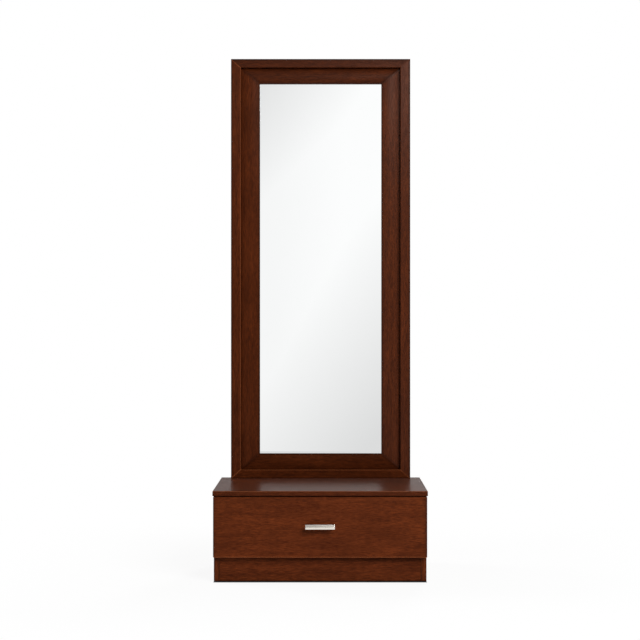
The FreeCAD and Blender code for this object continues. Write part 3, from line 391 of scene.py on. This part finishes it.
def zinc_plate(name, light, dark, smooth, rough):
    """Bright plated steel with fine crystals and rubbed marks."""
    material, tree, shader = new_material(name)
    place = mapped(tree)
    marks = noise(tree, place, 90.0, detail=5.0, roughness=0.65, distortion=0.8)
    share = blended(tree, cells(tree, place, 420.0), marks, 0.65)
    paint(tree, shader, mixed(tree, ranged(tree, share, *PLATE_SPAN), dark, light))
    shader.inputs["Metallic"].default_value = 1.0
    roughen(tree, shader, share, PLATE_SPAN, rough, smooth)
    bump(tree, shader, marks, distance=0.00004, strength=0.3)
    return material


SKIN_SPREAD = 0.08


def moulded(name, light, dark, roughness, gloss):
    """Moulded plastic or rubber with a fine grained skin."""
    material, tree, shader = new_material(name)
    place = mapped(tree)
    skin = noise(tree, place, 2200.0)
    clouds = noise(tree, place, 150.0, detail=3.0)
    paint(tree, shader, mixed(tree, clouds, dark, light))
    roughen(tree, shader, skin, NOISE_SPAN, roughness + SKIN_SPREAD, roughness - SKIN_SPREAD)
    shader.inputs["Specular IOR Level"].default_value = gloss
    bump(tree, shader, skin, distance=0.00008, strength=0.4)
    return material


# What each piece wears

def board_axes(name):
    """Axis of a board's length and of its thickness."""
    low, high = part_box(name)
    sizes = [end - start for start, end in zip(low, high)]
    return sizes.index(max(sizes)), sizes.index(min(sizes))


def dress(names, material):
    for name in names:
        for slot in nodes[name].material_slots:
            slot.material = material


def dress_stained(name, axis, **look):
    dress([name], stained_wood(f"stained_{name}", axis, len(bpy.data.materials), **look))


def dress_slot(slot, finish, name, *look):
    dress(slot_nodes[slot], finish(name, *look))


# Shade darkens each board's stain: on the frame partly its own darker stain, partly painted shade where
# lamps light it more
dress_stained("drawer_front", X, shade=0.99, edge=0.018, toward=RIGHT, both=True, rubbed=DOWN)
dress_stained("front_rail", X, edge=0.005)
dress_stained("plinth_board", X, shade=0.9, edge=0.004)
for side in ("left", "right"):
    dress_stained(f"{side}_side_panel", Z, shade=0.9, edge=0.005)
dress_stained(
    "cabinet_top", X, shade=0.86, roughness=0.32, top_gloss=0.75, drawn=0.9, edge=0.016, rubbed=UP,
)
# The left stiles are a little lighter than the right, as painted light for the weaker light on the left
dress_stained("border_left_stile", Z, shade=0.67, edge=0.014, toward=LEFT, rubbed=RIGHT)
dress_stained("inner_left_stile", Z, shade=0.65, edge=0.014, toward=RIGHT)
dress_stained("border_right_stile", Z, shade=0.62, gloss=0.1, edge=0.014, toward=RIGHT)
dress_stained("inner_right_stile", Z, shade=0.62, gloss=0.1, edge=0.014, toward=LEFT)
dress_stained("border_top_rail", X, shade=0.5, gloss=0.07, drawn=0.0, edge=0.014, toward=UP)
dress_stained("inner_top_rail", X, shade=0.5, gloss=0.07, drawn=0.0, edge=0.014, toward=DOWN)
dress_stained("border_bottom_rail", X, shade=0.58, gloss=0.02, edge=0.004, toward=DOWN, rubbed=UP)
dress_stained("inner_bottom_rail", X, shade=0.58, gloss=0.02, edge=0.014, toward=UP)

NICKEL = (colour(236, 228, 217), colour(226, 218, 207))
ZINC = (colour(198, 201, 205), colour(158, 162, 168))
SCREW_ZINC = (colour(176, 176, 174), colour(132, 132, 132))
CHROME = (colour(228, 229, 231), colour(206, 208, 212))
NYLON = (colour(62, 48, 40), colour(44, 33, 28))
RUBBER = (colour(206, 206, 198), colour(184, 184, 174))

dress_slot("mirror", mirror_silver, "mirror_silver")
dress_slot("satin_nickel", brushed_metal, "satin_nickel", X, *NICKEL, 0.172, 0.178)
for number, board in enumerate(slot_nodes["inner_wood"]):
    dress([board], plywood(f"plywood_{board}", *board_axes(board), number))
dress_slot("hardboard", hardboard, "hardboard")
dress_slot("dowel_wood", beech, "beech")
dress_slot("zinc_steel", zinc_plate, "zinc_plate", *ZINC, 0.26, 0.42)
dress_slot("screw_steel", zinc_plate, "screw_zinc", *SCREW_ZINC, 0.24, 0.38)
dress_slot("ball_steel", zinc_plate, "ball_chrome", *CHROME, 0.05, 0.12)
dress_slot("glide_plastic", moulded, "nylon", *NYLON, 0.5, 0.4)
dress_slot("bumper_rubber", moulded, "soft_pad", *RUBBER, 0.45, 0.5)


# White room that the camera and reflections see

# Each shade grows over a stretch of the direction across, along or up, or of a slanted pair of them
HIGH_STRETCH = (0.36, 0.64)
HIGH_TONE = 0.18
LOWER_SLANT = 1.2
LOWER_STRETCH = (-0.0382, 0.117)
LOWER_SHADE = 0.27
UPPER_SLANT = 1.5
UPPER_STRETCH = (0.1122, 0.2286)
UPPER_END = (0.17, 0.30)
UPPER_SHADE = 0.24
SIDE_STRETCH = (0.012, -0.036)
SIDE_SHADE = 0.055
FRONT_STRETCH = (-0.94, -0.985)
REAR_STRETCH = (0.0, 0.2)
REAR_SIDE_STRETCH = (0.10, -0.067)
REAR_SHADE = 0.18
AMBIENT = 0.09


def seen_share(tree, rays):
    """1 for what the camera, a reflection or a glass sees, 0 for light that falls on the object."""
    share = larger(tree, rays["Is Camera Ray"], rays["Is Glossy Ray"])
    return larger(tree, share, rays["Is Transmission Ray"])


def front_shade(tree, across, along, up):
    """Soft shades in front, for the mirror: lower right, upper left and a little on the left."""
    lower_right = difference(tree, product(tree, across, LOWER_SLANT), up)
    lower_right = ranged(tree, lower_right, *LOWER_STRETCH, 0.0, LOWER_SHADE)
    upper_left = difference(tree, up, product(tree, across, UPPER_SLANT))
    upper_left = ranged(tree, upper_left, *UPPER_STRETCH, 0.0, UPPER_SHADE)
    upper_left = product(tree, upper_left, ranged(tree, up, *UPPER_END, 1.0, 0.0))
    left = ranged(tree, across, *SIDE_STRETCH, 0.0, SIDE_SHADE)
    shade = larger(tree, larger(tree, lower_right, upper_left), left)
    return product(tree, shade, ranged(tree, along, *FRONT_STRETCH))


def room_seen(tree, rays, direction):
    """Brightness of the room: white to the camera, and mirrored darker high up, in front and behind."""
    across, along, up = separated(tree, direction)
    high = ranged(tree, up, *HIGH_STRETCH, 1.0, HIGH_TONE, smooth=True)
    front = front_shade(tree, across, along, up)
    rear = ranged(tree, across, *REAR_SIDE_STRETCH, 0.0, REAR_SHADE)
    rear = product(tree, rear, ranged(tree, along, *REAR_STRETCH))
    mirrored = difference(tree, difference(tree, high, front), rear)
    return larger(tree, mirrored, rays["Is Camera Ray"])


def make_world():
    world = bpy.data.worlds.new("studio")
    bpy.context.scene.world = world
    world.use_nodes = True
    tree = world.node_tree
    background = tree.nodes["Background"]
    background.inputs["Color"].default_value = (1.0, 1.0, 1.0, 1.0)
    rays = tree.nodes.new("ShaderNodeLightPath").outputs
    room = room_seen(tree, rays, coordinates(tree, "Generated"))
    seen = product(tree, seen_share(tree, rays), room)
    tree.links.new(larger(tree, seen, AMBIENT), background.inputs["Strength"])


# Pale floor that keeps the object's shadow, with a painted contact shadow where the cabinet stands

FLOOR_REACH = 4.0
FLOOR_TONE = (0.86, 0.86, 0.86, 1.0)
# Dark floor tone painted as a contact shadow where the cabinet stands, and how far it reaches to the sides
# and front
PAINTED_CONTACT_SHADOW_TONE = (0.02, 0.02, 0.02, 1.0)
CONTACT_SHADOW_SIDE = 0.002
CONTACT_SHADOW_FRONT = 0.018
# Where a mirror begins to show the floor darker, and how far to the sides it does
FLOOR_SHADE_START = -1.5
FLOOR_SHADE_SIDE = (0.4, 1.2)
# Distance from the cabinet over which its shadow gives way to white, and the share of white close by
SHADOW_STRETCH = (0.1, 1.0)
SHADOW_WHITE = 0.9


def floor_seen(tree, rays, across, along):
    """Brightness of the floor: white, and a little darker where a mirror shows it far in front."""
    shade = ranged(tree, along, FLOOR_SHADE_START, -FLOOR_REACH, 0.0, LOWER_SHADE)
    ahead = ranged(tree, unsigned(tree, across), *FLOOR_SHADE_SIDE, 1.0, 0.0)
    mirrored = product(tree, product(tree, shade, ahead), rays["Is Glossy Ray"])
    return difference(tree, 1.0, mirrored)


def beyond(tree, coordinate, low, high):
    """How far a coordinate lies outside a stretch, negative inside it."""
    offset = unsigned(tree, difference(tree, coordinate, (low + high) / 2))
    return difference(tree, offset, (high - low) / 2)


def floor_shares(tree, across, along):
    """Share that is pale, outside the painted dark shadow line where the cabinet stands, and share that is
    plain white.
    """
    left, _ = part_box("left_side_panel")
    _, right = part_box("right_side_panel")
    beside = beyond(tree, across, left.x, right.x)
    before = beyond(tree, along, left.y, right.y)
    pale = larger(tree, ranged(tree, beside, 0.0, CONTACT_SHADOW_SIDE), ranged(tree, before, 0.0, CONTACT_SHADOW_FRONT))
    away = ranged(tree, larger(tree, beside, before), *SHADOW_STRETCH, SHADOW_WHITE, 1.0, smooth=True)
    return pale, product(tree, pale, away)


def make_floor():
    bpy.ops.mesh.primitive_plane_add(size=2 * FLOOR_REACH)
    floor = bpy.context.object
    floor.name = "studio_floor"
    material, tree, shader = new_material("pale_floor")
    shader.inputs["Roughness"].default_value = 0.9
    shader.inputs["Specular IOR Level"].default_value = 0.0
    rays = tree.nodes.new("ShaderNodeLightPath").outputs
    across, along, _ = separated(tree, coordinates(tree, "Object"))
    pale, white = floor_shares(tree, across, along)
    # Painted contact shadow: dark tone where the cabinet stands, pale beyond
    paint(tree, shader, mixed(tree, pale, PAINTED_CONTACT_SHADOW_TONE, FLOOR_TONE))
    glow = tree.nodes.new("ShaderNodeEmission")
    tree.links.new(floor_seen(tree, rays, across, along), glow.inputs["Strength"])
    both = tree.nodes.new("ShaderNodeMixShader")
    tree.links.new(product(tree, seen_share(tree, rays), white), both.inputs["Fac"])
    output = shader.outputs["BSDF"].links[0].to_node
    tree.links.new(shader.outputs["BSDF"], both.inputs[1])
    tree.links.new(glow.outputs["Emission"], both.inputs[2])
    tree.links.new(both.outputs["Shader"], output.inputs["Surface"])
    floor.data.materials.append(material)


# Lamps and camera

# Photograph: 640 pixels square, seen straight on, with the point it looks at a little right of the middle
PICTURE = 640
AIM_PIXEL = (326.5, 320.0)
# Middle of the cabinet top's front edge, and the line where the plinth meets the floor
SLAB_MIDDLE_PIXEL = 320.15
FLOOR_PIXEL = 582.0
# Width of one pixel at the cabinet top's front edge, and the camera's distance from that edge
SLAB_SCALE = 0.0030134
CAMERA_DISTANCE = 4.561
SENSOR = 36.0


def lamp(name, place, aim, size, power, mirrored=False):
    data = bpy.data.lights.new(name, "AREA")
    data.shape = "DISK"
    data.size = size
    data.energy = power
    made = bpy.data.objects.new(name, data)
    bpy.context.scene.collection.objects.link(made)
    made.location = place
    made.visible_camera = False
    made.visible_glossy = mirrored
    direction = [goal - start for goal, start in zip(aim, place)]
    level = math.hypot(direction[X], direction[Y])
    made.rotation_euler = (math.atan2(level, -direction[Z]), 0.0, math.atan2(-direction[X], direction[Y]))


def make_camera():
    data = bpy.data.cameras.new("camera")
    made = bpy.data.objects.new("camera", data)
    bpy.context.scene.collection.objects.link(made)
    slab_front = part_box("cabinet_top")[0].y
    plinth_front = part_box("left_side_panel")[0].y
    focal = CAMERA_DISTANCE / SLAB_SCALE
    plinth_scale = (CAMERA_DISTANCE + plinth_front - slab_front) / focal
    made.location = (
        (AIM_PIXEL[0] - SLAB_MIDDLE_PIXEL) * SLAB_SCALE,
        slab_front - CAMERA_DISTANCE,
        (FLOOR_PIXEL - AIM_PIXEL[1]) * plinth_scale,
    )
    made.rotation_euler = (math.pi / 2, 0.0, 0.0)
    data.sensor_width = SENSOR
    data.lens = focal / PICTURE * SENSOR
    data.shift_x = (PICTURE / 2 - AIM_PIXEL[0]) / PICTURE
    data.shift_y = (AIM_PIXEL[1] - PICTURE / 2) / PICTURE
    bpy.context.scene.camera = made


make_floor()
make_world()
lamp("key", (2.2, -3.4, 2.7), aim=(0.0, 0.0, 0.7), size=2.4, power=190.0)
lamp("sheen", (0.74, -3.2, 2.15), aim=(0.25, 0.0, 1.3), size=0.5, power=24.0, mirrored=True)
lamp("fill", (-3.2, -1.3, 1.3), aim=(0.0, 0.0, 0.7), size=1.4, power=5.0)
lamp("left", (-3.2, 1.4, 1.8), aim=(0.0, 0.0, 0.6), size=1.2, power=75.0)
lamp("back", (1.2, 4.0, 2.0), aim=(0.0, 0.0, 0.8), size=1.2, power=105.0)
make_camera()
bpy.context.scene.view_settings.view_transform = "Standard"
